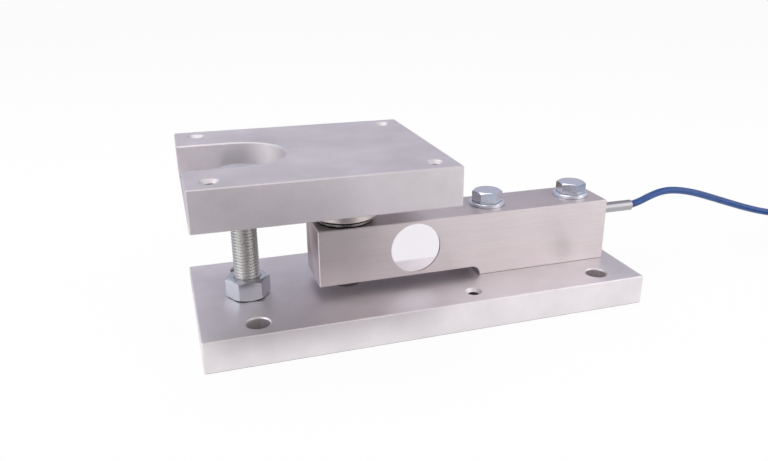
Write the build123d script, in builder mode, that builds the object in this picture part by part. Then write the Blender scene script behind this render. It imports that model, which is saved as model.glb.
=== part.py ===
from build123d import *
from math import cos, pi, radians, sin, tan
import os

# Weighing module: a shear-beam load cell bolted on a base plate, with a top plate that rests on its
# free end. A vessel's foot is bolted on the top plate. The weight goes down through a cup and a
# domed button into the cell, and an anti-lift bolt keeps the top plate from tipping off.
# Millimetres, +Z up, +X towards the cable, -Y is the front. The origin is the centre of the base
# plate's underside.

# Whole module
base_length = 290.0
module_height = 111.5

# Base plate
base_width = 113.0
base_thickness = 20.0
plate_corner_radius = 1.0
plate_edge_chamfer = 0.6
base_hole_diameter = 14.0
base_hole_chamfer = 0.8
base_hole_edge = 15.0
base_hole_end = 33.3
relief_bore_diameter = 18.0
earth_hole_x = 25.6
earth_hole_edge = 14.5

# Load cell body: its place along the base, its foot, and the milled relief under its free part
cell_start = 75.5
cell_end_gap = 9.5
cell_width = 37.5
cell_foot_height = 43.5
cell_foot_length = 95.2
cell_relief_depth = 6.5
cell_relief_radius = 6.0
cell_edge_chamfer = 0.5
cell_bolt_end = 18.5
cell_bolt_spacing = 65.0

# Gauge pockets, the discs that close them, and what they hold
pocket_from_end = 63.8
pocket_diameter = 29.4
disc_ledge = 2.0
disc_thickness = 1.0
disc_recess = 0.8
web_thickness = 6.0
gauge_length = 11.0
gauge_width = 8.0
gauge_thickness = 0.3
gauge_grid_height = 0.15
board_length = 14.0
board_width = 4.5
board_thickness = 1.0
board_gap = 1.0
lead_hole_diameter = 3.0
lead_hole_edge = 1.5
lead_diameter = 2.6
lead_bend = 3.0

# Cable exit: a wiring bore beside the bolt holes and a steel sleeve pressed round the cable
wiring_offset = 11.0
wiring_height = 46.0
wiring_clearance = 1.2
sleeve_wall = 1.2
sleeve_reach = 42.0
sleeve_seat_depth = 8.0
sleeve_edge_radius = 1.0

# Load introduction
load_from_end = 21.5
button_stem_diameter = 16.0
button_stem_length = 15.0
button_flange_diameter = 37.2
button_flange_thickness = 2.4
button_dome_diameter = 24.0
button_dome_height = 5.0
cup_diameter = 43.5
cup_recess_gap = 1.5
cup_spigot_diameter = 30.0
cup_spigot_height = 7.0
cup_edge_radius = 1.0
seal_section = 1.5
seal_inset = 2.25

# Top plate
top_beyond_load = 54.5
top_width = 131.0
top_thickness = 24.0
slot_width = 57.0
slot_depth = 19.5
slot_chamfer = 0.8
top_hole_edge = 13.0

# Tapped M8 holes of both plates
tap_core_diameter = 6.8
tap_chamfer = 2.1
countersink_angle = 90.0

# Fasteners
cell_bolt_diameter = 12.0
cell_bolt_flats = 18.0
cell_bolt_head = 7.5
cell_bolt_end_height = 6.0
inner_head_turn = -18.2
outer_head_turn = 26.1
washer_diameter = 24.0
washer_thickness = 2.5
anti_lift_diameter = 16.0
anti_lift_flats = 24.0
anti_lift_head = 10.0
anti_lift_end_height = 2.5
anti_lift_turn = 0.0
lock_nut_height = 13.0
hexagon_bevel = 30.0

# Clearances
thread_clearance = 0.05
seat_clearance = 0.05
dome_clearance = 0.05
seal_clearance = 0.1
lead_clearance = 0.4
head_clearance = 0.5
core_clearance = 0.2
cell_bolt_clearance = 0.5
anti_lift_clearance = 2.0
tie_clearance = 0.3
floor_clearance = 0.1

# Cable: the stretch to the coil, a coil of neat turns tied once, and a short tail with bare cores
cable_diameter = 5.4
cable_length = 3000.0
coil_offset_x = 178.0
coil_centre_y = -36.5
coil_turn_diameter = 61.5
coil_turns_across = 4
coil_turns_high = 4
coil_pitch = 5.6
tie_width = 4.5
tie_thickness = 1.2
tie_angle = 250.0
tie_lock_width = 8.0
tie_lock_length = 7.0
tie_lock_height = 4.6
core_diameter = 1.3
core_count = 5
core_circle_radius = 1.6
core_reach = 26.0
core_fan = 17.0
ferrule_diameter = 2.0
ferrule_length = 8.0

# Heights
base_top = base_thickness
cell_top = base_top + cell_foot_height
beam_bottom = base_top + cell_relief_depth
beam_centre_z = (beam_bottom + cell_top) / 2
top_top = module_height
top_bottom = top_top - top_thickness
top_above_cell = top_bottom - cell_top
slot_floor = top_top - slot_depth

# Places along the module, from the base's left end
base_left = -base_length / 2
cell_left = base_left + cell_start
cell_right = base_length / 2 - cell_end_gap
foot_left = cell_right - cell_foot_length
outer_bolt_x = cell_right - cell_bolt_end
inner_bolt_x = outer_bolt_x - cell_bolt_spacing
pocket_x = cell_left + pocket_from_end
load_x = cell_left + load_from_end
anti_lift_x = base_left + base_hole_end
top_length = load_x + top_beyond_load - base_left
top_centre_x = base_left + top_length / 2
sleeve_end_x = cell_right + sleeve_reach

# Sizes that follow from the pieces they fit
disc_diameter = pocket_diameter + 2 * disc_ledge
disc_seat_depth = disc_recess + disc_thickness
pocket_depth = (cell_width - web_thickness) / 2
wiring_bore_diameter = lead_diameter + 2 * wiring_clearance
sleeve_bore_diameter = cable_diameter + 2 * seat_clearance
sleeve_diameter = sleeve_bore_diameter + 2 * sleeve_wall
cell_bolt_hole_diameter = cell_bolt_diameter + 2 * cell_bolt_clearance
anti_lift_hole_diameter = anti_lift_diameter + 2 * anti_lift_clearance
cup_recess_diameter = button_dome_diameter + 2 * cup_recess_gap
cup_above_cell = button_flange_thickness + seal_section + 2 * seal_clearance
dome_top = button_flange_thickness + button_dome_height

base_hole_y = base_width / 2 - base_hole_edge
base_hole_places = [(x, y) for x in (anti_lift_x, outer_bolt_x) for y in (-base_hole_y, base_hole_y)]
cell_bolt_places = [(inner_bolt_x, 0), (outer_bolt_x, 0)]
top_hole_reach = (top_length / 2 - top_hole_edge, top_width / 2 - top_hole_edge)
top_hole_places = [
    (top_centre_x + side * top_hole_reach[0], end * top_hole_reach[1])
    for side in (-1, 1)
    for end in (-1, 1)
]

os.makedirs("parts", exist_ok=True)

# Base plate: four fixing holes, two tapped holes for the cell, one for the anti-lift bolt, a relief
# bore under the load axis and one tapped earth hole at the front
with BuildPart() as base_plate:
    with BuildSketch():
        RectangleRounded(base_length, base_width, plate_corner_radius)
    extrude(amount=base_thickness)
    for face in (base_plate.faces().sort_by(Axis.Z)[-1], base_plate.faces().sort_by(Axis.Z)[0]):
        chamfer(face.outer_wire().edges(), plate_edge_chamfer)
    with Locations(*[(x, y, base_top) for x, y in base_hole_places]):
        CounterSinkHole(
            base_hole_diameter / 2,
            base_hole_diameter / 2 + base_hole_chamfer,
            counter_sink_angle=countersink_angle,
        )
    with Locations((load_x, 0, base_top)):
        CounterSinkHole(
            relief_bore_diameter / 2,
            relief_bore_diameter / 2 + base_hole_chamfer,
            counter_sink_angle=countersink_angle,
        )
    with Locations((earth_hole_x, earth_hole_edge - base_width / 2, base_top)):
        CounterSinkHole(
            tap_core_diameter / 2,
            tap_core_diameter / 2 + tap_chamfer,
            counter_sink_angle=countersink_angle,
        )
    with Locations(*[(x, y, base_top) for x, y in cell_bolt_places]):
        Hole(cell_bolt_diameter / 2)
    with Locations((anti_lift_x, 0, base_top)):
        Hole(anti_lift_diameter / 2)
base_plate.part.label = "base_plate"
export_step(base_plate.part, "parts/base_plate.step")

# Top plate: a round-ended pocket, open to the left, holds the anti-lift bolt's head, and the
# vessel's foot is bolted to four tapped holes. The cup's spigot is let into the underside.
with BuildPart() as top_plate:
    with BuildSketch(Plane.XY.offset(top_bottom)):
        with Locations((top_centre_x, 0)):
            RectangleRounded(top_length, top_width, plate_corner_radius)
    extrude(amount=top_thickness)
    for face in (top_plate.faces().sort_by(Axis.Z)[-1], top_plate.faces().sort_by(Axis.Z)[0]):
        chamfer(face.outer_wire().edges(), plate_edge_chamfer)
    slot_reach = anti_lift_x - base_left
    with BuildSketch(Plane.XY.offset(top_top)):
        with Locations((anti_lift_x, 0)):
            Circle(slot_width / 2)
        with Locations((anti_lift_x - slot_reach, 0)):
            Rectangle(2 * slot_reach, slot_width)
    extrude(amount=-slot_depth, mode=Mode.SUBTRACT)
    slot_rim = top_plate.faces().sort_by(Axis.Z)[-1].edges().filter_by(
        lambda edge: abs(edge.center().Y) < slot_width / 2 + 0.01
        and edge.center().X < anti_lift_x + slot_width / 2 + 0.01
    )
    chamfer(slot_rim, slot_chamfer)
    with Locations((anti_lift_x, 0, slot_floor)):
        Hole(anti_lift_hole_diameter / 2)
    with Locations(*[(x, y, top_top) for x, y in top_hole_places]):
        CounterSinkHole(
            tap_core_diameter / 2,
            tap_core_diameter / 2 + tap_chamfer,
            counter_sink_angle=countersink_angle,
        )
    with BuildSketch(Plane.XY.offset(top_bottom)):
        with Locations((load_x, 0)):
            Circle(cup_spigot_diameter / 2 + seat_clearance)
    extrude(amount=cup_spigot_height + seat_clearance, mode=Mode.SUBTRACT)
top_plate.part.label = "top_plate"
export_step(top_plate.part, "parts/top_plate.step")

# Load cell body: one machined bar. A blind pocket from each side leaves a thin shear web for the
# gauges, a blind hole takes the load button's stem, and a bore leads the wires past the bolt holes.
with BuildPart() as load_cell_body:
    with BuildSketch(Plane.XZ) as side_outline:
        with BuildLine():
            Polyline(
                (cell_left, beam_bottom),
                (foot_left, beam_bottom),
                (foot_left, base_top),
                (cell_right, base_top),
                (cell_right, cell_top),
                (cell_left, cell_top),
                close=True,
            )
        make_face()
        relief_corner = side_outline.vertices().sort_by_distance((foot_left, beam_bottom))[0]
        fillet(relief_corner, min(cell_relief_radius, 0.95 * cell_relief_depth))
    extrude(amount=cell_width / 2, both=True)
    top_edges = load_cell_body.faces().sort_by(Axis.Z)[-1].edges()
    end_edges = load_cell_body.faces().sort_by(Axis.X)[0].edges().filter_by(Axis.Z)
    chamfer(top_edges + end_edges, cell_edge_chamfer)
    for side in (1, -1):
        side_plane = Plane.XZ.offset(side * cell_width / 2)
        with BuildSketch(side_plane):
            with Locations((pocket_x, beam_centre_z)):
                Circle(disc_diameter / 2)
        extrude(amount=-side * disc_seat_depth, mode=Mode.SUBTRACT)
        with BuildSketch(side_plane):
            with Locations((pocket_x, beam_centre_z)):
                Circle(pocket_diameter / 2)
        extrude(amount=-side * pocket_depth, mode=Mode.SUBTRACT)
    lead_hole_z = beam_centre_z + pocket_diameter / 2 - lead_hole_edge - lead_hole_diameter / 2
    with BuildSketch(Plane.XZ):
        with Locations((pocket_x, lead_hole_z)):
            Circle(lead_hole_diameter / 2)
    extrude(amount=web_thickness, both=True, mode=Mode.SUBTRACT)
    with BuildSketch(Plane.YZ.offset(pocket_x)):
        with Locations((wiring_offset, wiring_height)):
            Circle(wiring_bore_diameter / 2)
    extrude(amount=cell_right - pocket_x, mode=Mode.SUBTRACT)
    with BuildSketch(Plane.YZ.offset(cell_right)):
        with Locations((wiring_offset, wiring_height)):
            Circle(sleeve_diameter / 2 + seat_clearance)
    extrude(amount=-sleeve_seat_depth, mode=Mode.SUBTRACT)
    with Locations(*[(x, y, cell_top) for x, y in cell_bolt_places]):
        Hole(cell_bolt_hole_diameter / 2, depth=cell_foot_height)
    with Locations((load_x, 0, cell_top)):
        Hole(button_stem_diameter / 2 + seat_clearance, depth=button_stem_length + seat_clearance)
load_cell_body.part.label = "load_cell_body"
export_step(load_cell_body.part, "parts/load_cell_body.step")

# Discs welded in their seats, a little below the cell's side faces
for name, side in (("front_seal_disc", 1), ("rear_seal_disc", -1)):
    with BuildPart() as seal_disc:
        with BuildSketch(Plane.XZ.offset(side * (cell_width / 2 - disc_recess))):
            with Locations((pocket_x, beam_centre_z)):
                Circle(disc_diameter / 2 - seat_clearance)
        extrude(amount=-side * disc_thickness)
    seal_disc.part.label = name
    export_step(seal_disc.part, f"parts/{name}.step")

# Strain gauges, one bonded on each side of the web: a film with two raised grids at 45 degrees
for name, side in (("front_strain_gauge", 1), ("rear_strain_gauge", -1)):
    with BuildPart() as strain_gauge:
        with BuildSketch(Plane.XZ.offset(side * web_thickness / 2)):
            with Locations((pocket_x, beam_centre_z)):
                RectangleRounded(gauge_length, gauge_width, gauge_width / 8)
        extrude(amount=side * gauge_thickness)
        with BuildSketch(Plane.XZ.offset(side * (web_thickness / 2 + gauge_thickness))):
            for end in (-1, 1):
                with Locations((pocket_x + end * gauge_length / 4, beam_centre_z)):
                    Rectangle(gauge_length / 4, gauge_width / 2, rotation=-45 * end)
        extrude(amount=side * gauge_grid_height)
    strain_gauge.part.label = name
    export_step(strain_gauge.part, f"parts/{name}.step")

# Terminal board, bonded on the rear of the web below the gauge
board_z = beam_centre_z - gauge_width / 2 - board_gap - board_width / 2
with BuildPart() as terminal_board:
    with BuildSketch(Plane.XZ.offset(-web_thickness / 2)):
        with Locations((pocket_x, board_z)):
            RectangleRounded(board_length, board_width, board_width / 9)
    extrude(amount=-board_thickness)
terminal_board.part.label = "terminal_board"
export_step(terminal_board.part, "parts/terminal_board.step")

# Inner leads: from the cable's end in the sleeve, along the wiring bore, down to the terminal board
lead_drop_x = pocket_x + pocket_diameter / 4
lead_end_x = pocket_x + board_length / 4
lead_start_x = sleeve_end_x - lead_clearance
with BuildPart() as inner_leads:
    with BuildLine() as lead_path:
        FilletPolyline(
            (lead_start_x, wiring_offset, wiring_height),
            (lead_drop_x, wiring_offset, wiring_height),
            (lead_end_x, wiring_offset, board_z),
            (lead_end_x, web_thickness / 2 + board_thickness, board_z),
            radius=lead_bend,
        )
    with BuildSketch(Plane((lead_start_x, wiring_offset, wiring_height), z_dir=(-1, 0, 0))):
        Circle(lead_diameter / 2)
    sweep(path=lead_path.line)
inner_leads.part.label = "inner_leads"
export_step(inner_leads.part, "parts/inner_leads.step")

# Cable sleeve: a steel tube seated in the end face, with a rounded mouth
sleeve_start_x = cell_right - sleeve_seat_depth
with BuildPart() as cable_sleeve:
    with BuildSketch(Plane.YZ.offset(sleeve_start_x)):
        with Locations((wiring_offset, wiring_height)):
            Circle(sleeve_diameter / 2)
    extrude(amount=sleeve_end_x - sleeve_start_x)
    fillet(cable_sleeve.faces().sort_by(Axis.X)[-1].edges(), min(sleeve_edge_radius, 0.8 * sleeve_wall))
    with BuildSketch(Plane.YZ.offset(sleeve_start_x)):
        with Locations((wiring_offset, wiring_height)):
            Circle(sleeve_bore_diameter / 2)
    extrude(amount=sleeve_end_x - sleeve_start_x, mode=Mode.SUBTRACT)
cable_sleeve.part.label = "cable_sleeve"
export_step(cable_sleeve.part, "parts/cable_sleeve.step")

# Load button: a stem in the cell's blind hole, a flange on its top face and a hardened dome
load_plane = Plane(origin=(load_x, 0, cell_top), x_dir=(1, 0, 0), z_dir=(0, -1, 0))
load_axis = Axis((load_x, 0, 0), (0, 0, 1))
button_bevel = 0.5 * button_flange_thickness
with BuildPart() as load_button:
    with BuildSketch(load_plane):
        with BuildLine():
            Polyline(
                (0, dome_top),
                (0, -button_stem_length),
                (button_stem_diameter / 2, -button_stem_length),
                (button_stem_diameter / 2, 0),
                (button_flange_diameter / 2 - button_bevel, 0),
                (button_flange_diameter / 2, button_bevel),
                (button_flange_diameter / 2, button_flange_thickness),
                (button_dome_diameter / 2, button_flange_thickness),
            )
            TangentArc(
                (0, dome_top), (button_dome_diameter / 2, button_flange_thickness), tangent=(1, 0)
            )
        make_face()
    revolve(axis=load_axis)
load_button.part.label = "load_button"
export_step(load_button.part, "parts/load_button.step")

# Load cup: hangs under the top plate by its spigot, and the dome bears on the flat of its recess
cup_recess_top = dome_top + dome_clearance
with BuildPart() as load_cup:
    with BuildSketch(load_plane) as cup_section:
        with BuildLine():
            Polyline(
                (0, cup_recess_top),
                (cup_recess_diameter / 2, cup_recess_top),
                (cup_recess_diameter / 2, cup_above_cell),
                (cup_diameter / 2, cup_above_cell),
                (cup_diameter / 2, top_above_cell),
                (cup_spigot_diameter / 2, top_above_cell),
                (cup_spigot_diameter / 2, top_above_cell + cup_spigot_height),
                (0, top_above_cell + cup_spigot_height),
                close=True,
            )
        make_face()
        cup_rim = cup_section.vertices().sort_by_distance((cup_diameter / 2, cup_above_cell))[0]
        fillet(cup_rim, cup_edge_radius)
    revolve(axis=load_axis)
load_cup.part.label = "load_cup"
export_step(load_cup.part, "parts/load_cup.step")

# Rubber ring that keeps dirt off the dome
with BuildPart() as seal_ring:
    with BuildSketch(load_plane):
        ring_height = (button_flange_thickness + cup_above_cell) / 2
        with Locations((cup_recess_diameter / 2 + seal_inset, ring_height)):
            Circle(seal_section / 2)
    revolve(axis=load_axis)
seal_ring.part.label = "seal_ring"
export_step(seal_ring.part, "parts/seal_ring.step")


def hexagon_section(flats, height, bevel_low=False):
    """Half section of a turned hexagon blank: its corners are bevelled above, and below if asked."""
    corner = flats / 2 / cos(radians(30))
    bearing = 0.95 * flats / 2
    drop = (corner - bearing) * tan(radians(hexagon_bevel))
    foot = [(0, 0), (bearing, 0), (corner, drop)] if bevel_low else [(0, 0), (corner, 0)]
    return foot + [(corner, height - drop), (bearing, height), (0, height)]


# Bolts, each a bevelled hexagon on a round shank. The threads are as wide as their tapped holes.
cell_bolt_seat = cell_top + washer_thickness
anti_lift_seat = slot_floor + head_clearance
bolts = [
    ("cell_bolt_inner", inner_bolt_x, cell_bolt_seat, cell_bolt_diameter, cell_bolt_flats,
     cell_bolt_head, cell_bolt_end_height, inner_head_turn),
    ("cell_bolt_outer", outer_bolt_x, cell_bolt_seat, cell_bolt_diameter, cell_bolt_flats,
     cell_bolt_head, cell_bolt_end_height, outer_head_turn),
    ("anti_lift_bolt", anti_lift_x, anti_lift_seat, anti_lift_diameter, anti_lift_flats,
     anti_lift_head, anti_lift_end_height, anti_lift_turn),
]
for name, x, seat, diameter, flats, head, end_height, turn in bolts:
    shank_radius = diameter / 2 - thread_clearance
    with BuildPart() as bolt:
        with BuildSketch(Plane.XY.offset(seat)):
            with Locations((x, 0)):
                RegularPolygon(flats / 2, 6, major_radius=False, rotation=turn)
        extrude(amount=head)
        with BuildSketch(Plane(origin=(x, 0, seat), x_dir=(1, 0, 0), z_dir=(0, -1, 0))):
            with BuildLine():
                Polyline(*hexagon_section(flats, head), close=True)
            make_face()
        revolve(axis=Axis((x, 0, 0), (0, 0, 1)), mode=Mode.INTERSECT)
        with BuildSketch(Plane.XY.offset(seat)):
            with Locations((x, 0)):
                Circle(shank_radius)
        extrude(amount=end_height - seat)
        chamfer(bolt.faces().sort_by(Axis.Z)[0].edges(), 0.15 * shank_radius)
    bolt.part.label = name
    export_step(bolt.part, f"parts/{name}.step")

# Lock nut of the anti-lift bolt, countersunk at both mouths
with BuildPart() as lock_nut:
    with BuildSketch(Plane.XY.offset(base_top)):
        with Locations((anti_lift_x, 0)):
            RegularPolygon(anti_lift_flats / 2, 6, major_radius=False)
    extrude(amount=lock_nut_height)
    with BuildSketch(Plane(origin=(anti_lift_x, 0, base_top), x_dir=(1, 0, 0), z_dir=(0, -1, 0))):
        with BuildLine():
            Polyline(*hexagon_section(anti_lift_flats, lock_nut_height, bevel_low=True), close=True)
        make_face()
    revolve(axis=Axis((anti_lift_x, 0, 0), (0, 0, 1)), mode=Mode.INTERSECT)
    with Locations((anti_lift_x, 0, base_top + lock_nut_height)):
        CounterSinkHole(
            anti_lift_diameter / 2,
            anti_lift_diameter / 2 + base_hole_chamfer,
            counter_sink_angle=countersink_angle,
        )
lock_nut.part.label = "anti_lift_lock_nut"
export_step(lock_nut.part, "parts/anti_lift_lock_nut.step")

for name, x in (("cell_washer_inner", inner_bolt_x), ("cell_washer_outer", outer_bolt_x)):
    with BuildPart() as washer:
        with BuildSketch(Plane.XY.offset(cell_top)):
            with Locations((x, 0)):
                Circle(washer_diameter / 2)
                Circle(cell_bolt_hole_diameter / 2, mode=Mode.SUBTRACT)
        extrude(amount=washer_thickness)
        chamfer(washer.faces().sort_by(Axis.Z)[-1].outer_wire().edges(), 0.2 * washer_thickness)
    washer.part.label = name
    export_step(washer.part, f"parts/{name}.step")

# Cable: the stretch from the sleeve's mouth to the coil. It rises a little as it leaves the sleeve
# and comes down on the coil's back. The tail leaves the coil's lowest turn on its right.
cable_radius = cable_diameter / 2
coil_radius = coil_turn_diameter / 2
coil_half_width = coil_turns_across * coil_pitch / 2
coil_height = coil_turns_high * coil_pitch
coil_bottom = tie_thickness + tie_clearance + floor_clearance
coil_top_turn = coil_bottom + coil_height - coil_pitch / 2
coil_outer = coil_radius + coil_half_width
coil_x = sleeve_end_x + coil_offset_x
coil_pass = coil_outer + cable_radius + tie_clearance
cable_points = [
    (sleeve_end_x, wiring_offset, wiring_height),
    (sleeve_end_x + 7.0, 11.0, 47.4),
    (sleeve_end_x + 16.0, 11.0, 51.1),
    (sleeve_end_x + 27.5, 11.0, 54.3),
    (sleeve_end_x + 40.5, 11.0, 53.9),
    (sleeve_end_x + 57.5, 10.9, 50.2),
    (sleeve_end_x + 75.0, 10.7, 44.4),
    (sleeve_end_x + 93.0, 10.5, 38.2),
    (sleeve_end_x + 111.0, 10.2, 32.2),
    (sleeve_end_x + 129.0, 9.9, 27.0),
    (sleeve_end_x + 146.5, 9.6, 23.4),
    (sleeve_end_x + 163.5, coil_centre_y + coil_pass + 0.3, coil_top_turn + 0.5),
    (coil_x, coil_centre_y + coil_pass, coil_top_turn),
]
tail_x = coil_x + coil_pass
tail_points = [
    (tail_x, coil_centre_y, cable_radius),
    (tail_x, coil_centre_y - 15.0, cable_radius),
    (tail_x - 2.0, coil_centre_y - 31.0, cable_radius),
    (tail_x - 7.5, coil_centre_y - 46.0, cable_radius),
]


def route_radii(points):
    """Arc radius at each corner: 0.45 of its shorter run over the tangent of half the turn."""
    radii = []
    for before, corner, after in zip(points, points[1:], points[2:]):
        run_in = Vector(*corner) - Vector(*before)
        run_out = Vector(*after) - Vector(*corner)
        half_turn = radians(run_in.get_angle(run_out)) / 2
        radii.append(0.45 * min(run_in.length, run_out.length) / tan(half_turn))
    return radii


uncoiled_length = 0.0
for name, points in (("cable", cable_points), ("cable_tail", tail_points)):
    with BuildPart() as cord:
        with BuildLine() as cord_path:
            FilletPolyline(*points, radius=route_radii(points))
        with BuildSketch(Plane(points[0], z_dir=Vector(*points[1]) - Vector(*points[0]))):
            Circle(cable_radius)
        sweep(path=cord_path.line)
    cord.part.label = name
    export_step(cord.part, f"parts/{name}.step")
    cord_length = sum(edge.length for edge in cord_path.line.edges())
    uncoiled_length += cord_length
    volume_ratio = cord.part.volume / (pi * cable_radius**2 * cord_length)
    print(name, f"length {cord_length:.1f}, volume over section x length {volume_ratio:.4f}")
    print(name, "radii", [round(radius, 1) for radius in route_radii(points)])

# Coil of the length that is put away: its outer shape only
with BuildPart() as cable_coil:
    with BuildSketch(Plane.XZ.offset(-coil_centre_y)) as coil_section:
        with Locations((coil_x + coil_radius, coil_bottom + coil_height / 2)):
            Rectangle(2 * coil_half_width, coil_height)
        chamfer(coil_section.vertices(), cable_radius / 2)
    revolve(axis=Axis((coil_x, coil_centre_y, 0), (0, 0, 1)))
cable_coil.part.label = "cable_coil"
export_step(cable_coil.part, "parts/cable_coil.step")
coil_length = cable_length - uncoiled_length
print(f"coil length {coil_length:.0f}, turns {coil_length / pi / coil_turn_diameter:.1f}")

# Cable tie round the coil's section, with its lock on top
tie_direction = Vector(cos(radians(tie_angle)), sin(radians(tie_angle)), 0)
tie_plane = Plane(
    origin=(
        coil_x + coil_radius * tie_direction.X,
        coil_centre_y + coil_radius * tie_direction.Y,
        coil_bottom + coil_height / 2,
    ),
    x_dir=tie_direction,
    z_dir=(tie_direction.Y, -tie_direction.X, 0),
)
tie_inside = (2 * (coil_half_width + tie_clearance), coil_height + 2 * tie_clearance)
with BuildPart() as cable_tie:
    with BuildSketch(tie_plane):
        RectangleRounded(
            tie_inside[0] + 2 * tie_thickness,
            tie_inside[1] + 2 * tie_thickness,
            cable_radius + tie_thickness,
        )
        RectangleRounded(*tie_inside, cable_radius - tie_clearance, mode=Mode.SUBTRACT)
    extrude(amount=tie_width / 2, both=True)
    with BuildSketch(tie_plane):
        with Locations((0, (tie_inside[1] + tie_lock_height) / 2)):
            Rectangle(tie_lock_width, tie_lock_height)
    extrude(amount=tie_lock_length / 2, both=True)
cable_tie.part.label = "cable_tie"
export_step(cable_tie.part, "parts/cable_tie.step")

# Bare cores at the tail's end, spread like a hand, each with a crimped ferrule
tail_end = Vector(*tail_points[-1])
tail_direction = (tail_end - Vector(*tail_points[-2])).normalized()
tail_side = tail_direction.cross(Vector(0, 0, 1))
core_starts = []
core_directions = []
for index in range(core_count):
    turn = radians(90 + 360 / core_count * index)
    across = core_circle_radius * cos(turn)
    direction = tail_direction.rotate(Axis.Z, -core_fan * across / core_circle_radius)
    centre = tail_end + tail_side * across + Vector(0, 0, core_circle_radius * sin(turn))
    core_starts.append(centre + direction * core_clearance)
    core_directions.append(direction)
with BuildPart() as core_ends:
    for start, direction in zip(core_starts, core_directions):
        with BuildSketch(Plane(start, z_dir=direction)):
            Circle(core_diameter / 2)
        extrude(amount=core_reach)
core_ends.part.label = "core_ends"
export_step(core_ends.part, "parts/core_ends.step")

with BuildPart() as core_ferrules:
    for start, direction in zip(core_starts, core_directions):
        with BuildSketch(Plane(start + direction * core_reach, z_dir=direction)):
            Circle(ferrule_diameter / 2)
        extrude(amount=ferrule_length)
core_ferrules.part.label = "core_ferrules"
export_step(core_ferrules.part, "parts/core_ferrules.step")
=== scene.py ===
# %% [markdown]
# # A weighing module in its studio
#
# The object is a load cell on a steel base plate, with a thick top plate resting on its free end.
# The solids come in already modelled, so this lesson adds what a camera needs: a camera, lamps,
# metal that looks machined, real threads and a cable that lies like a cable.

# %% Load the frame
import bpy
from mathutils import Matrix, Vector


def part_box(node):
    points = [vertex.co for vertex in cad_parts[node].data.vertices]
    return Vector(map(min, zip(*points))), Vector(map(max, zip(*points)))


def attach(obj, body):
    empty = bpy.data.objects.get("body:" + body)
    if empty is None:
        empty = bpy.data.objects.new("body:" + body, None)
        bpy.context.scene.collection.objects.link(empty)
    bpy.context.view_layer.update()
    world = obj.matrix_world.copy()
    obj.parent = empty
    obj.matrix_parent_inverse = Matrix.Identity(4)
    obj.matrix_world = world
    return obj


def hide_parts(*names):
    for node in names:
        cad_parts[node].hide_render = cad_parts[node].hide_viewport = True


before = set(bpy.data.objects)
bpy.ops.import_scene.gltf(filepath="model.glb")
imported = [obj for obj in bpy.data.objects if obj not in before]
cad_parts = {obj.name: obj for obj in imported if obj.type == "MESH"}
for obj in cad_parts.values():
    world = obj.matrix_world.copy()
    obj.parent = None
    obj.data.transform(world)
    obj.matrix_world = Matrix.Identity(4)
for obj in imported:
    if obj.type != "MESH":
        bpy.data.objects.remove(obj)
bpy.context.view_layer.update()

# %% Libraries
import bpy
from math import cos, pi, radians, sin, tan
from mathutils import Matrix, Vector

scene = bpy.context.scene
scene.view_settings.view_transform = "Standard"
MM = 0.001


def piece_box(name):
    """Lowest and highest corner of a CAD piece as two vectors, in metres."""
    low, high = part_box(name)
    return Vector(low), Vector(high)


print("pieces:", len(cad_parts))

# %% [markdown]
# ## The camera
#
# A photograph can be turned back into a camera: the plate's straight edges and the round holes were
# fitted as lines and ellipses, and the fit gives the place, the direction and the focal length.
# The picture was cropped off-centre, which a small lens shift says without bending anything.

# %% Camera from the fit
PICTURE = (768, 461)
SENSOR_WIDTH = 36
CAMERA_PLACE = Vector((-0.15173, -0.43170, 0.22283))
CAMERA_RIGHT = Vector((0.94269, -0.33355, 0.00858))
CAMERA_DOWN = Vector((-0.11224, -0.34122, -0.93326))
CAMERA_FORWARD = Vector((0.31421, 0.87881, -0.35910))
FOCAL_PIXELS = 730.5
PICTURE_CENTRE = (418.6, 234.8)

camera_data = bpy.data.cameras.new("studio_camera")
camera_data.sensor_width = SENSOR_WIDTH
camera_data.lens = FOCAL_PIXELS / PICTURE[0] * SENSOR_WIDTH
camera_data.shift_x = (PICTURE[0] / 2 - PICTURE_CENTRE[0]) / PICTURE[0]
camera_data.shift_y = (PICTURE_CENTRE[1] - PICTURE[1] / 2) / PICTURE[0]
camera_data.clip_start = 0.01
camera_data.clip_end = 50
camera = bpy.data.objects.new("studio_camera", camera_data)
axes = Matrix((CAMERA_RIGHT, -CAMERA_DOWN, -CAMERA_FORWARD)).transposed()
camera.matrix_world = Matrix.Translation(CAMERA_PLACE) @ axes.to_4x4()
scene.collection.objects.link(camera)
scene.camera = camera
print(f"lens {camera_data.lens:.1f} mm, shift {camera_data.shift_x:.3f}, {camera_data.shift_y:.3f}")

# %% [markdown]
# ## The cable
#
# A cable is one smooth curve. It leaves the steel sleeve, rises a little because it is stiff, and
# comes down to a coil of neat turns that holds the length that isn't used. A NURBS spline is the
# right tool: its few control points are the route, and the curve between them can't kink.

# %% Route of the cable, in millimetres
MOUTH = Vector((177.5, 11.0, 46.0))
CABLE_THICK = 5.4
ROUTE = [
    (0, 11.0, 46.0), (7.0, 11.0, 47.4), (16.0, 11.0, 51.1), (27.5, 11.0, 54.3), (40.5, 11.0, 53.9),
    (57.5, 10.9, 50.2), (75.0, 10.7, 44.4), (93.0, 10.5, 38.2), (111.0, 10.2, 32.2),
    (129.0, 9.9, 27.0), (146.5, 9.6, 23.4), (163.5, 8.75, 21.7),
]
route = [Vector((MOUTH.x + dx, y, z)) for dx, y, z in ROUTE]
print("route points", len(route))

# %% [markdown]
# ## Turns of the coil
#
# A hand-wound coil fills one layer after another. Each turn keeps its radius nearly all the way
# round, then jogs across to the next lane, so neighbours lie against each other without crossing.

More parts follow.
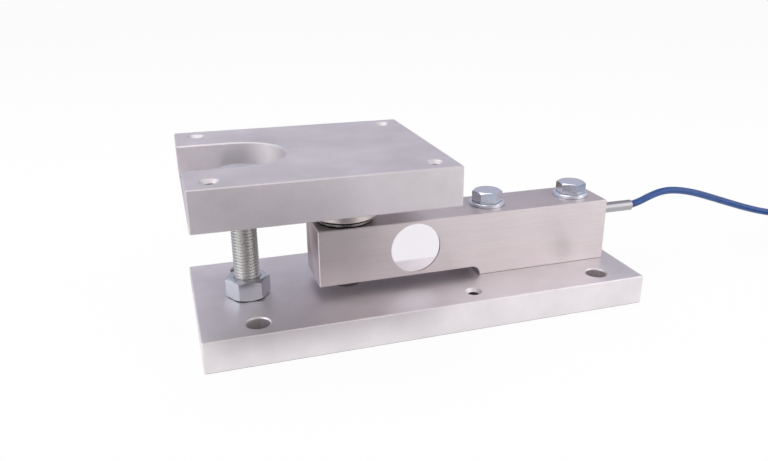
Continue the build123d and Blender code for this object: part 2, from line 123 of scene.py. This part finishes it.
# %% Points of the turns, worked out by a loop
COIL_CENTRE = Vector((355.5, -36.5, 0))
COIL_MEAN = 30.75
COIL_PITCH = 5.6
COIL_BOTTOM = 1.6
LAYERS = 4
LAST_TURN = 14
COIL_TURNS = LAST_TURN + 0.25
JOG_SHARE = 0.25
TAIL_OUT = 44.95
TAIL_HEIGHT = 2.7
POINTS_PER_TURN = 16
# The spline runs a little inside its control points, so these stand out by this much.
SPREAD = 1 / cos(pi / POINTS_PER_TURN)
lanes = [COIL_MEAN + (lane - (LAYERS - 1) / 2) * COIL_PITCH for lane in range(LAYERS)]
floors = [COIL_BOTTOM + (floor + 0.5) * COIL_PITCH for floor in range(LAYERS)]
places = []
for layer, height in enumerate(reversed(floors)):
    order = reversed(lanes) if layer % 2 == 0 else lanes
    places += [(lane, height) for lane in order]


def smooth(share):
    """Ease from 0 to 1 with level ends."""
    share = min(1, max(0, share))
    return share * share * (3 - 2 * share)


coil = []
steps = int(COIL_TURNS * POINTS_PER_TURN)
for step in range(1, steps):
    turns = step / POINTS_PER_TURN
    here = min(int(turns), LAST_TURN)
    into = turns - here
    jog = smooth((into - (1 - JOG_SHARE)) / JOG_SHARE)
    after = min(here + 1, LAST_TURN)
    radius = places[here][0] * (1 - jog) + places[after][0] * jog
    height = places[here][1] * (1 - jog) + places[after][1] * jog
    if here == LAST_TURN:
        # The last quarter turn comes out of the coil and down to the surface.
        radius += (TAIL_OUT - radius) * smooth(into / JOG_SHARE)
        height += (TAIL_HEIGHT - height) * smooth(into / JOG_SHARE)
    angle = pi / 2 - 2 * pi * turns
    reach = radius * SPREAD
    coil.append(COIL_CENTRE + Vector((reach * cos(angle), reach * sin(angle), height)))
TAIL = [(0, 0.0), (0, -15.0), (-2.0, -31.0), (-7.5, -46.0)]
tail = [COIL_CENTRE + Vector((TAIL_OUT + dx, dy, TAIL_HEIGHT)) for dx, dy in TAIL]
print("turns", COIL_TURNS, "points", len(coil))


# %% One open spline for the whole cable
def make_curve(name, points, thick):
    """A round cord: one open NURBS spline through space, given in millimetres.

    Its thickness is each point's radius, because Blender adds that radius to the curve's box.
    """
    data = bpy.data.curves.new(name, "CURVE")
    data.dimensions = "3D"
    data.bevel_depth = 1.0
    data.bevel_resolution = 6
    data.use_fill_caps = True
    spline = data.splines.new("NURBS")
    spline.points.add(len(points) - 1)
    for point, place in zip(spline.points, points):
        point.co = (*(place * MM), 1)
        point.radius = thick / 2 * MM
    spline.order_u = 3
    spline.use_endpoint_u = True
    spline.resolution_u = 8
    made = bpy.data.objects.new(name, data)
    scene.collection.objects.link(made)
    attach(made, "root")
    return made


cable = make_curve("signal_cable", route + coil + tail, CABLE_THICK)
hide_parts("cable", "cable_coil", "cable_tail")
print("control points", len(route + coil + tail))

# %% [markdown]
# ## Colour and nodes
#
# Colours are picked as sRGB hex, as a paint shop or a screen would name them, and shaders work in
# linear light, so one function turns them. One more function adds a node with its settings and its
# links, which keeps each material short enough to read.


# %% Helpers for materials
def linear(hex_colour):
    """Turn an sRGB hex colour such as 'B8B4B0' into linear red, green, blue and alpha."""
    parts = [int(hex_colour[i : i + 2], 16) / 255 for i in (0, 2, 4)]
    return tuple(c / 12.92 if c <= 0.04045 else ((c + 0.055) / 1.055) ** 2.4 for c in parts) + (1,)


def add(tree, kind, inputs=None, links=None, **settings):
    """Add a node to a tree, set its properties and input values, and link its inputs."""
    made = tree.nodes.new(kind)
    for name, value in settings.items():
        setattr(made, name, value)
    for socket, value in (inputs or {}).items():
        made.inputs[socket].default_value = value
    for socket, source in (links or {}).items():
        tree.links.new(source, made.inputs[socket])
    return made


def new_material(name):
    """An empty material with its node tree, its shader and its output."""
    made = bpy.data.materials.new(name)
    made.use_nodes = True
    tree = made.node_tree
    shader = tree.nodes["Principled BSDF"]
    return made, tree, shader


def set_ramp(ramp, stops):
    """Give a colour ramp its stops, as (place, colour) pairs."""
    bar = ramp.color_ramp
    while len(bar.elements) < len(stops):
        bar.elements.new(0.5)
    for element, (place, colour) in zip(bar.elements, stops):
        element.position = place
        element.color = colour


print("white is", linear("FFFFFF"))

# %% [markdown]
# ## Machined steel
#
# The plates are stainless steel, milled flat and then bead-blasted. Blasting leaves pits about
# 0.1 mm wide, which scatter the reflection evenly: satin, with no streaks. The load cell is ground
# along its length before it is blasted lightly, so a trace of fine lines stays in it.
# A metal's colour is its reflection, so the base colour is what a white room looks like in it.


# %% Steel finishes
# Sizes are in millimetres. The shadow line in a joint is 0.2 mm wide; it is painted as shade up to 0.7 mm
# wide.
CLOUD_SIZE = 38
STREAK_LENGTH = 60
STREAK_SPREAD = 0.65
RELIEF_DEPTH = 0.05
NOISE_LOW, NOISE_HIGH = 0.3, 0.7
SHADE_LINE_WIDTH = 0.7
SHADE_LINE_COLOUR = "4A403C"


def steel(name, light, dark, rough, grain_mm, streak_mm=None, streak_axis=0, bump=0.05):
    """Steel with cloudy tone, fine blasted grain and, if asked, lines along one axis."""
    made, tree, shader = new_material(name)
    place = add(tree, "ShaderNodeTexCoord").outputs["Object"]
    clouds = add(
        tree, "ShaderNodeTexNoise", {"Scale": 1 / (CLOUD_SIZE * MM), "Detail": 3.0, "Roughness": 0.55},
        {"Vector": place},
    )
    grain = add(
        tree, "ShaderNodeTexNoise", {"Scale": 1 / (grain_mm * MM), "Detail": 2.0, "Roughness": 0.6},
        {"Vector": place},
    )
    tone = add(
        tree, "ShaderNodeMix", {"Factor": 0.35}, {"A": clouds.outputs["Fac"], "B": grain.outputs["Fac"]},
        data_type="FLOAT",
    ).outputs["Result"]
    height = grain.outputs["Fac"]
    if streak_mm:
        stretch = [1 / (streak_mm * MM)] * 3
        stretch[streak_axis] /= STREAK_LENGTH
        mapped = add(tree, "ShaderNodeMapping", {"Scale": stretch}, {"Vector": place})
        lines = add(
            tree, "ShaderNodeTexNoise", {"Scale": 1.0, "Detail": 2.0, "Roughness": 0.5},
            {"Vector": mapped.outputs["Vector"]},
        )
        tone = add(
            tree, "ShaderNodeMix", {"Factor": 0.45}, {"A": tone, "B": lines.outputs["Fac"]},
            data_type="FLOAT",
        ).outputs["Result"]
        height = add(
            tree, "ShaderNodeMix", {"Factor": 0.6}, {"A": height, "B": lines.outputs["Fac"]},
            data_type="FLOAT",
        ).outputs["Result"]
    colour = add(tree, "ShaderNodeValToRGB", links={"Fac": tone})
    set_ramp(colour, [(NOISE_LOW, linear(dark)), (NOISE_HIGH, linear(light))])
    # Where two pieces meet, painted shade: an occlusion node darkens the colour in corners to a thin dark
    # line, standing in for the shadow in the joint.
    corner = add(tree, "ShaderNodeAmbientOcclusion", {"Distance": SHADE_LINE_WIDTH * MM}, samples=8)
    corner_shade = add(
        tree, "ShaderNodeMapRange", {"From Min": 0.5, "From Max": 0.8}, {"Value": corner.outputs["AO"]}
    )
    painted = add(
        tree, "ShaderNodeMix", {"A": linear(SHADE_LINE_COLOUR)},
        {"Factor": corner_shade.outputs["Result"], "B": colour.outputs["Color"]}, data_type="RGBA",
    )
    gloss = add(
        tree, "ShaderNodeMapRange",
        {"From Min": NOISE_LOW, "From Max": NOISE_HIGH, "To Min": rough - 0.05, "To Max": rough + 0.06},
        {"Value": height},
    )
    relief = add(
        tree, "ShaderNodeBump", {"Strength": bump, "Distance": RELIEF_DEPTH * MM}, {"Height": height}
    )
    if streak_mm:
        # Lines spread the light across them: the tangent runs round the axis that they follow.
        across = add(tree, "ShaderNodeTangent", direction_type="RADIAL", axis="XYZ"[streak_axis])
        shader.inputs["Anisotropic"].default_value = STREAK_SPREAD
        tree.links.new(across.outputs["Tangent"], shader.inputs["Tangent"])
    shader.inputs["Metallic"].default_value = 1.0
    tree.links.new(painted.outputs["Result"], shader.inputs["Base Color"])
    tree.links.new(gloss.outputs["Result"], shader.inputs["Roughness"])
    tree.links.new(relief.outputs["Normal"], shader.inputs["Normal"])
    return made


# The grit leaves pits of 0.1 mm; they are drawn 0.6 mm wide so that they show in the picture.
plate_steel = steel("blasted_stainless_plate", "E9E5E7", "CFCBCD", 0.48, 0.6, bump=0.35)
# The base plate is a paler copy of the same blasted steel: painted light, standing in for the extra light
# that falls on it.
base_paler_steel = steel("blasted_stainless_base_painted_paler", "F0ECEE", "D9D5D7", 0.48, 0.6, bump=0.35)
# Grinding lines are 0.05 mm apart; they are drawn 0.35 mm apart.
cell_steel = steel("ground_stainless_cell", "DED6D7", "C8C0C1", 0.42, 0.6, streak_mm=0.35, bump=0.2)
# Marks of turning, drawing, plating and tapping are finer still; they are drawn 0.3 to 0.8 mm wide.
# The load button is painted dark: painted shade, for the shadow under the cup that it sits in.
button_shaded_steel = steel("turned_hardened_steel_painted_shade", "8E8A88", "787472", 0.26, 0.8, streak_mm=0.5, streak_axis=2)
cup_steel = steel("turned_stainless_cup", "D6CECA", "C6BEBA", 0.34, 0.8, bump=0.1)
zinc = steel("bright_zinc_plate", "E6ECF6", "DAE1EB", 0.21, 0.4, bump=0.01)
# The nut is a darker copy of the bolts' zinc.
nut_zinc = steel("darker_zinc_plate", "D4D8DE", "C6CAD1", 0.2, 0.4, bump=0.01)
sleeve_steel = steel("drawn_stainless_tube", "B4B3B6", "9E9DA0", 0.26, 0.8, streak_mm=0.3)
tin = steel("tinned_copper_ferrule", "D6D2CA", "C2BEB6", 0.32, 0.6)
thread_zinc = steel("zinc_plated_thread", "DADAD8", "C6C6C3", 0.28, 0.4, bump=0.01)
# The thread inside a hole is the same steel painted darker: painted shade, for the shadow deep in the
# hole.
tapped_shaded_steel = steel("tapped_stainless_thread_painted_shade", "5E5752", "4A443F", 0.45, 0.5, bump=0.1)
print("steel finishes", plate_steel.name, cell_steel.name, tapped_shaded_steel.name)

# %% [markdown]
# ## Polished discs
#
# The round covers of the gauge pockets are lapped, welded and polished until they mirror the room.
# A mirror needs almost no texture: a very low roughness, and faint swirls from the polishing pad.

# %% Mirror finish
SWIRL_SIZE = 9
MIRROR_ROUGHNESS = (0.05, 0.09)
mirror, mirror_tree, mirror_shader = new_material("polished_stainless_disc")
mirror_place = add(mirror_tree, "ShaderNodeTexCoord").outputs["Object"]
swirl = add(
    mirror_tree, "ShaderNodeTexNoise", {"Scale": 1 / (SWIRL_SIZE * MM), "Detail": 2.0},
    {"Vector": mirror_place},
)
swirl_gloss = add(
    mirror_tree, "ShaderNodeMapRange", {"To Min": MIRROR_ROUGHNESS[0], "To Max": MIRROR_ROUGHNESS[1]},
    {"Value": swirl.outputs["Fac"]},
)
mirror_shader.inputs["Metallic"].default_value = 1.0
mirror_shader.inputs["Base Color"].default_value = linear("F0EEF2")
mirror_tree.links.new(swirl_gloss.outputs["Result"], mirror_shader.inputs["Roughness"])
print("mirror roughness", MIRROR_ROUGHNESS)

# %% [markdown]
# ## Plastics and rubber
#
# The cable's jacket is blue polyurethane, extruded and slightly glossy. The tie is black nylon and
# the ring is nitrile rubber. All three are dielectrics: their colour is their own, and the gloss
# on top stays white.


# %% Plastic finishes
def plastic(name, main, shade, rough, spot_mm, ior=1.5, bump=0.1):
    """A moulded or extruded plastic: faintly cloudy colour and a fine surface."""
    made, tree, shader = new_material(name)
    place = add(tree, "ShaderNodeTexCoord").outputs["Object"]
    cloud = add(
        tree, "ShaderNodeTexNoise", {"Scale": 1 / (spot_mm * MM), "Detail": 3.0}, {"Vector": place}
    )
    colour = add(tree, "ShaderNodeValToRGB", links={"Fac": cloud.outputs["Fac"]})
    set_ramp(colour, [(NOISE_LOW, linear(shade)), (NOISE_HIGH, linear(main))])
    relief = add(
        tree, "ShaderNodeBump", {"Strength": bump, "Distance": RELIEF_DEPTH * MM},
        {"Height": cloud.outputs["Fac"]},
    )
    tree.links.new(colour.outputs["Color"], shader.inputs["Base Color"])
    tree.links.new(relief.outputs["Normal"], shader.inputs["Normal"])
    shader.inputs["Roughness"].default_value = rough
    shader.inputs["IOR"].default_value = ior
    return made


jacket = plastic("blue_polyurethane_jacket", "205096", "18407F", 0.3, 6.0)
nylon = plastic("black_nylon_tie", "26262A", "1B1B1E", 0.4, 3.0, ior=1.53)
nitrile = plastic("black_nitrile_rubber", "1E1E20", "141416", 0.65, 1.5, ior=1.52)
polyimide = plastic("amber_polyimide_film", "B8863A", "9C6C28", 0.35, 2.0, ior=1.7)
epoxy_board = plastic("green_glass_epoxy_board", "2E7D4A", "23663B", 0.4, 1.5, ior=1.55)
core_plastic = plastic("pvc_core_insulation", "C9C9C4", "B2B2AD", 0.4, 2.0)
print("plastics", jacket.name, nylon.name, nitrile.name)

# %% [markdown]
# ## Five cores in five colours
#
# The bare cores fan out like the fingers of a hand, so each one has its own direction from one point
# a little inside the cable. How far a place lies to the side, divided by how far it lies ahead,
# tells which core it belongs to.

# %% Colours of the cores
FAN_BEHIND = 5.3
CORE_STOPS = [
    (0.0, "A8322C"), (0.2673, "2A2A2C"), (0.4125, "2F7D46"), (0.5875, "E4E2DC"), (0.7327, "D2AE2C")
]
ahead = (tail[-1] - tail[-2]).normalized()
beside = ahead.cross(Vector((0, 0, 1)))
fan_point = (tail[-1] - ahead * FAN_BEHIND) * MM
core_paint, core_tree, core_shader = new_material("coloured_pvc_cores")
core_place = add(core_tree, "ShaderNodeTexCoord").outputs["Object"]
from_point = add(
    core_tree, "ShaderNodeVectorMath", {1: fan_point}, {0: core_place}, operation="SUBTRACT"
).outputs["Vector"]
to_side = add(core_tree, "ShaderNodeVectorMath", {1: beside}, {0: from_point}, operation="DOT_PRODUCT")
to_front = add(core_tree, "ShaderNodeVectorMath", {1: ahead}, {0: from_point}, operation="DOT_PRODUCT")
slope = add(
    core_tree, "ShaderNodeMath", links={0: to_side.outputs["Value"], 1: to_front.outputs["Value"]},
    operation="DIVIDE",
)
finger = add(core_tree, "ShaderNodeMath", {1: 0.5}, {0: slope.outputs[0]}, operation="ADD")
core_colour = add(core_tree, "ShaderNodeValToRGB", links={"Fac": finger.outputs[0]})
core_colour.color_ramp.interpolation = "CONSTANT"
set_ramp(core_colour, [(place, linear(colour)) for place, colour in CORE_STOPS])
core_tree.links.new(core_colour.outputs["Color"], core_shader.inputs["Base Color"])
core_shader.inputs["Roughness"].default_value = 0.4
print("core colours", [colour for place, colour in CORE_STOPS])


# %% Dress the CAD pieces
def dress(material, *names):
    """Give CAD pieces a finish through their material slots."""
    for name in names:
        piece = bpy.data.objects[name]
        if not piece.material_slots:
            piece.data.materials.append(material)
        for slot in piece.material_slots:
            slot.material = material


dress(plate_steel, "top_plate")
dress(base_paler_steel, "base_plate")
dress(cell_steel, "load_cell_body")
dress(mirror, "front_seal_disc", "rear_seal_disc")
dress(button_shaded_steel, "load_button")
dress(cup_steel, "load_cup")
dress(zinc, "cell_bolt_inner", "cell_bolt_outer", "cell_washer_inner", "cell_washer_outer")
dress(tin, "core_ferrules")
dress(nut_zinc, "anti_lift_lock_nut")
dress(sleeve_steel, "cable_sleeve")
dress(nitrile, "seal_ring")
dress(nylon, "cable_tie")
dress(polyimide, "front_strain_gauge", "rear_strain_gauge")
dress(epoxy_board, "terminal_board")
dress(core_plastic, "inner_leads")
dress(core_paint, "core_ends")
cable.data.materials.append(jacket)
print("dressed", len(bpy.data.materials), "materials")

# %% [markdown]
# ## A real thread
#
# The anti-lift bolt is an M16 bolt threaded along its whole shank: a 60 degree thread with 2 mm of
# pitch. Its flanks catch light that no bump could fake at the silhouette, so the thread is a mesh:
# rings of points whose radius rises and falls along the pitch, turned a little at each step.

# %% Thread profile
THREAD_PITCH = 2.0
THREAD_DEPTH = 1.23
MAJOR_RADIUS = 7.98
# Places along half a pitch, from 0 at the crest's middle to 1 at the root's middle.
CREST_END, ROOT_START = 0.16, 0.72


def thread_radius(turns):
    """Radius of a metric thread at a place along its pitch: flat crest, straight flanks, flat root."""
    share = abs((turns % 1) - 0.5) * 2
    fall = min(1, max(0, (share - CREST_END) / (ROOT_START - CREST_END)))
    return MAJOR_RADIUS - THREAD_DEPTH * fall


print("root radius", round(thread_radius(0), 2), "crest radius", round(thread_radius(0.5), 2))


# %% Build a mesh from rings
def mesh_piece(name, rings, material, shell=False, smooth_faces=True):
    """Skin closed rings of points, given in millimetres, into one piece on the fixed body.

    A shell joins its last ring to its first; anything else gets a flat end on both sides.
    """
    points = [place * MM for ring in rings for place in ring]
    count = len(rings[0])
    faces = []
    for ring in range(len(rings) if shell else len(rings) - 1):
        low = ring * count
        high = (ring + 1) % len(rings) * count
        for turn in range(count):
            after = (turn + 1) % count
            faces.append((low + turn, low + after, high + after, high + turn))
    if not shell:
        faces.append(tuple(reversed(range(count))))
        faces.append(tuple(range((len(rings) - 1) * count, len(rings) * count)))
    data = bpy.data.meshes.new(name)
    data.from_pydata(points, [], faces)
    data.update()
    data.materials.append(material)
    if smooth_faces:
        data.shade_smooth()
    made = bpy.data.objects.new(name, data)
    scene.collection.objects.link(made)
    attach(made, "root")
    return made


# %% Threaded shank of the anti-lift bolt
HEAD_HEIGHT = 10.0
END_BEVEL = 1.2
RING_POINTS = 48
RINGS_PER_PITCH = 12
bolt_low, bolt_high = piece_box("anti_lift_bolt")
bolt_centre = (bolt_low + bolt_high) / 2 / MM
shank_low = bolt_low.z / MM
shank_high = bolt_high.z / MM - HEAD_HEIGHT
ring_count = int((shank_high - shank_low) / THREAD_PITCH * RINGS_PER_PITCH)
shank_rings = []
for index in range(ring_count + 1):
    height = shank_low + (shank_high - shank_low) * index / ring_count
    ring = []
    for turn in range(RING_POINTS):
        angle = 2 * pi * turn / RING_POINTS
        radius = thread_radius(height / THREAD_PITCH - turn / RING_POINTS)
        radius = min(radius, MAJOR_RADIUS - END_BEVEL + (height - shank_low))
        ring.append(Vector((bolt_centre.x + radius * cos(angle), radius * sin(angle), height)))
    shank_rings.append(ring)
shank = mesh_piece("threaded_shank", shank_rings, thread_zinc)
print("thread rings", len(shank_rings), "from", shank_low, "to", shank_high)

# %% [markdown]
# ## Tapped holes
#
# The solids have smooth holes at the thread's core diameter. A thin liner stands inside each one and
# carries the thread: M8 with 1.25 mm of pitch. It is a closed shell, so it looks right from both ends.

# %% Liners of the M8 holes
HOLE_PITCH = 1.25
HOLE_WALL = 3.39
HOLE_ROOT = HOLE_WALL - 0.04
HOLE_CREST = 3.08
LEAD_IN = 0.6
RINGS_PER_TURN = 8
HOLE_POINTS = 32
TOP_HOLES = [(-132.0, -52.5), (-6.5, -52.5), (-132.0, 52.5), (-6.5, 52.5)]
TOP_HOLE_SPAN = (87.7, 109.3)
EARTH_HOLE = (25.6, -42.0)
EARTH_HOLE_SPAN = (0.2, 17.8)


def tapped_liner(name, x, y, low, high):
    """A thin threaded shell inside a smooth hole."""

    def circle(height, radius_at):
        angles = [2 * pi * turn / HOLE_POINTS for turn in range(HOLE_POINTS)]
        return [Vector((x + radius_at(a) * cos(a), y + radius_at(a) * sin(a), height)) for a in angles]

    def inner(height):
        def radius_at(angle):
            turns = height / HOLE_PITCH - angle / (2 * pi)
            share = abs((turns % 1) - 0.5) * 2
            lead = min(1, min(height - low, high - height) / LEAD_IN)
            return HOLE_ROOT - (HOLE_ROOT - HOLE_CREST) * share * lead
        return radius_at

    count = int((high - low) / HOLE_PITCH * RINGS_PER_TURN)
    heights = [high - (high - low) * index / count for index in range(count + 1)]
    rings = [circle(low, lambda angle: HOLE_WALL), circle(high, lambda angle: HOLE_WALL)]
    rings += [circle(height, inner(height)) for height in heights]
    return mesh_piece(name, rings, tapped_shaded_steel, shell=True)


for number, place in enumerate(TOP_HOLES, 1):
    tapped_liner(f"vessel_hole_thread_{number}", *place, *TOP_HOLE_SPAN)
tapped_liner("earth_hole_thread", *EARTH_HOLE, *EARTH_HOLE_SPAN)
print("tapped holes", len(TOP_HOLES) + 1)

# %% [markdown]
# ## The hexagon head
#
# A forged bolt head is a hexagon whose corners are turned down by a 30 degree cone, which leaves the
# curved edges seen on every nut. Each point takes the lower of the hexagon's edge and the cone.

# %% Head of the anti-lift bolt
ACROSS_FLATS = 24.0
HEAD_POINTS = 96
# The turned-down top is a circle a little narrower than the flats.
TOP_CIRCLE = 0.95
CONE_ANGLE = radians(30)
# How far up each ring of the head lies, as a share, and how far in from the edge it stands.
HEAD_RINGS = ((0, 0.36), (0, 0), (0.72, 0), (0.86, 0), (0.94, 0.09), (1, 0.36), (1, 3.6))


def hexagon_radius(angle, flats):
    """Distance from a hexagon's centre to its edge at an angle, with flats towards front and back."""
    step = pi / 3
    off = (angle % step) - step / 2
    return flats / 2 / cos(off)


head_rings = []
for share, inset in HEAD_RINGS:
    height = shank_high + HEAD_HEIGHT * share
    cone = ACROSS_FLATS / 2 * TOP_CIRCLE + (shank_high + HEAD_HEIGHT - height) / tan(CONE_ANGLE)
    ring = []
    for turn in range(HEAD_POINTS):
        angle = 2 * pi * turn / HEAD_POINTS
        radius = min(hexagon_radius(angle, ACROSS_FLATS), cone) - inset
        ring.append(Vector((bolt_centre.x + radius * cos(angle), radius * sin(angle), height)))
    head_rings.append(ring)
head = mesh_piece("anti_lift_bolt_head", head_rings, zinc, smooth_faces=False)
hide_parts("anti_lift_bolt")
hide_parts("anti_lift_bolt")
print("head from", round(shank_high, 2), "to", round(shank_high + HEAD_HEIGHT, 2))

# %% [markdown]
# ## Floor and light
#
# A catalogue picture stands on white that never ends. The floor is a pale sheet, the world behind it
# is white for the camera and for reflections, and the lamps are large, so shadows have no edge.

# %% Paper
def paper_material(name, camera_share, mirror_share, colour="F7F7F7"):
    """White paper that is lit like paper, and glows by a share where the camera or a mirror sees it."""
    made, tree, shader = new_material(name)
    tree.nodes.remove(shader)
    rays = add(tree, "ShaderNodeLightPath")
    by_camera = add(
        tree, "ShaderNodeMath", {1: camera_share}, {0: rays.outputs["Is Camera Ray"]}, operation="MULTIPLY"
    )
    mirrored = add(
        tree, "ShaderNodeMath",
        links={0: rays.outputs["Is Glossy Ray"], 1: rays.outputs["Is Transmission Ray"]},
        operation="MAXIMUM",
    )
    share = add(
        tree, "ShaderNodeMath", {1: mirror_share}, {0: mirrored.outputs[0], 2: by_camera.outputs[0]},
        operation="MULTIPLY_ADD",
    )
    sheet = add(tree, "ShaderNodeBsdfDiffuse", {"Color": linear(colour)})
    glow = add(tree, "ShaderNodeEmission", {"Color": (1, 1, 1, 1), "Strength": 1.0})
    both = add(
        tree, "ShaderNodeMixShader",
        links={0: share.outputs[0], 1: sheet.outputs[0], 2: glow.outputs[0]},
    )
    tree.links.new(both.outputs[0], tree.nodes["Material Output"].inputs["Surface"])
    return made


lit_paper = paper_material("white_paper_floor", 0.92, 0.85)
# Under the base plate little light reaches the paper, and what does is warm from the steel.
shaded_paper = paper_material("shaded_paper_floor", 0, 0.08, "A8927E")
print("papers", lit_paper.name, shaded_paper.name)

# %% Floor
FLOOR_REACH = 8.0
base_low, base_high = piece_box("base_plate")
# The shaded sheet ends 1 mm inside the base plate's edges, so it never shows beside them.
margin = 1.0 * MM
xs = (-FLOOR_REACH, base_low.x + margin, base_high.x - margin, FLOOR_REACH)
ys = (-FLOOR_REACH, base_low.y + margin, base_high.y - margin, FLOOR_REACH)
floor_points = [(x, y, 0) for y in ys for x in xs]
wide = len(xs)
floor_faces = [
    (low, low + 1, low + wide + 1, low + wide)
    for row in range(len(ys) - 1)
    for low in range(row * wide, row * wide + wide - 1)
]
floor_data = bpy.data.meshes.new("studio_floor")
floor_data.from_pydata(floor_points, [], floor_faces)
floor_data.materials.append(lit_paper)
floor_data.materials.append(shaded_paper)
middle_face = floor_data.polygons[len(floor_faces) // 2]
middle_face.material_index = 1
floor = bpy.data.objects.new("studio_floor", floor_data)
scene.collection.objects.link(floor)
print("floor", floor.name, "with", len(floor_faces), "faces")

# %% World
LIT_BY_WORLD = 0.62
SEEN_WORLD = 1.0
world = bpy.data.worlds.new("studio_world")
scene.world = world
world.use_nodes = True
sky = world.node_tree
sky.nodes.clear()
sky_rays = add(sky, "ShaderNodeLightPath")
seen_or_glossy = add(
    sky, "ShaderNodeMath",
    links={0: sky_rays.outputs["Is Camera Ray"], 1: sky_rays.outputs["Is Glossy Ray"]},
    operation="MAXIMUM",
)
direct = add(
    sky, "ShaderNodeMath",
    links={0: seen_or_glossy.outputs[0], 1: sky_rays.outputs["Is Transmission Ray"]},
    operation="MAXIMUM",
)
strength = add(
    sky, "ShaderNodeMapRange", {"To Min": LIT_BY_WORLD, "To Max": SEEN_WORLD}, {"Value": direct.outputs[0]}
)
room = add(
    sky, "ShaderNodeBackground", {"Color": (1, 1, 1, 1)}, {"Strength": strength.outputs["Result"]}
)
add(sky, "ShaderNodeOutputWorld", links={"Surface": room.outputs[0]})
print("world strength", LIT_BY_WORLD, "for light and", SEEN_WORLD, "where it is seen")


# %% Lamps
def soft_lamp(name, place, target, size, power):
    """A square softbox that points at a target."""
    data = bpy.data.lights.new(name, "AREA")
    data.size = size
    data.energy = power
    made = bpy.data.objects.new(name, data)
    made.location = place
    aim = Vector(target) - Vector(place)
    made.rotation_euler = aim.to_track_quat("-Z", "Y").to_euler()
    scene.collection.objects.link(made)


MIDDLE = (0, 0, 0.05)
soft_lamp("softbox_right", (1.0, -0.9, 0.72), MIDDLE, 1.4, 6.2)
soft_lamp("softbox_above", (-0.1, 0.2, 1.3), MIDDLE, 1.0, 4.2)
soft_lamp("softbox_left", (-1.1, -0.15, 0.6), MIDDLE, 1.1, 5.6)

# %% [markdown]
# ## A tent of cards
#
# Metal is only as interesting as what it reflects. In an all-white room it looks like paper, so a
# photographer builds a tent of grey cards: a little darker behind and above, darkest on the table in
# front at the left, where the steel's front faces shade off, and close behind, where the gaps under
# the load cell and the top plate look out. Only reflections see these cards.


# %% Cards for the reflections
def card(name, points, faces, colour):
    """A plain card that reflections see and that neither lights nor shades anything else."""
    data = bpy.data.meshes.new(name)
    data.from_pydata(points, [], faces)
    paint, tree, shader = new_material(name + "_paint")
    tree.nodes.remove(shader)
    glow = add(tree, "ShaderNodeEmission", {"Color": linear(colour), "Strength": 1.0})
    tree.links.new(glow.outputs[0], tree.nodes["Material Output"].inputs["Surface"])
    data.materials.append(paint)
    made = bpy.data.objects.new(name, data)
    made.visible_camera = False
    made.visible_diffuse = False
    made.visible_shadow = False
    scene.collection.objects.link(made)


TENT_RADIUS = 3.0
TENT_COLUMNS, TENT_ROWS = 8, 4


def tent_card(name, turn_from, turn_to, rise_from, rise_to, colour):
    """A curved card of the tent, between two directions round the object and two heights, in degrees."""
    points = []
    for row in range(TENT_ROWS + 1):
        rise = radians(rise_from + (rise_to - rise_from) * row / TENT_ROWS)
        for column in range(TENT_COLUMNS + 1):
            turn = radians(turn_from + (turn_to - turn_from) * column / TENT_COLUMNS)
            points.append(TENT_RADIUS * Vector((cos(rise) * cos(turn), cos(rise) * sin(turn), sin(rise))))
    width = TENT_COLUMNS + 1
    faces = [
        (low, low + 1, low + width + 1, low + width)
        for row in range(TENT_ROWS)
        for low in range(row * width, row * width + TENT_COLUMNS)
    ]
    card(name, points, faces, colour)


def table_card(name, x_from, x_to, y_from, y_to, colour, above=0.5):
    """A flat card lying on the table, a little above it."""
    corners = ((x_from, y_from), (x_to, y_from), (x_to, y_to), (x_from, y_to))
    points = [(x, y, above * MM) for x, y in corners]
    card(name, points, [(0, 1, 2, 3)], colour)


tent_card("tent_back", 25, 115, 0, 45, "C0BECB")
tent_card("tent_left", 115, 205, 0, 45, "DEDFEC")
tent_card("tent_front", 205, 295, 0, 45, "DFD9DC")
tent_card("tent_right", 295, 385, 0, 45, "E8E4E8")
tent_card("tent_top_back", -20, 160, 45, 90, "BEBECC")
tent_card("tent_top_front", 160, 340, 45, 90, "BEB4B2")
table_card("table_white", -3.0, 3.0, -3.0, -0.0575, "FFFDFF", above=0.3)
table_card("table_left", -0.25, -0.06, -0.42, -0.2, "7E7886")
table_card("table_middle", -0.06, 0.08, -0.42, -0.2, "A6A5B2")
table_card("table_near", -0.14, 0.005, -0.2, -0.088, "544E54")
table_card("table_far", -3.0, -0.06, -3.0, -0.42, "CBC5CA")
table_card("table_back", -3.0, 3.0, 0.06, 3.0, "CEC6CC")
table_card("table_behind", -0.16, 0.06, 0.07, 0.3, "6E625C", above=0.8)
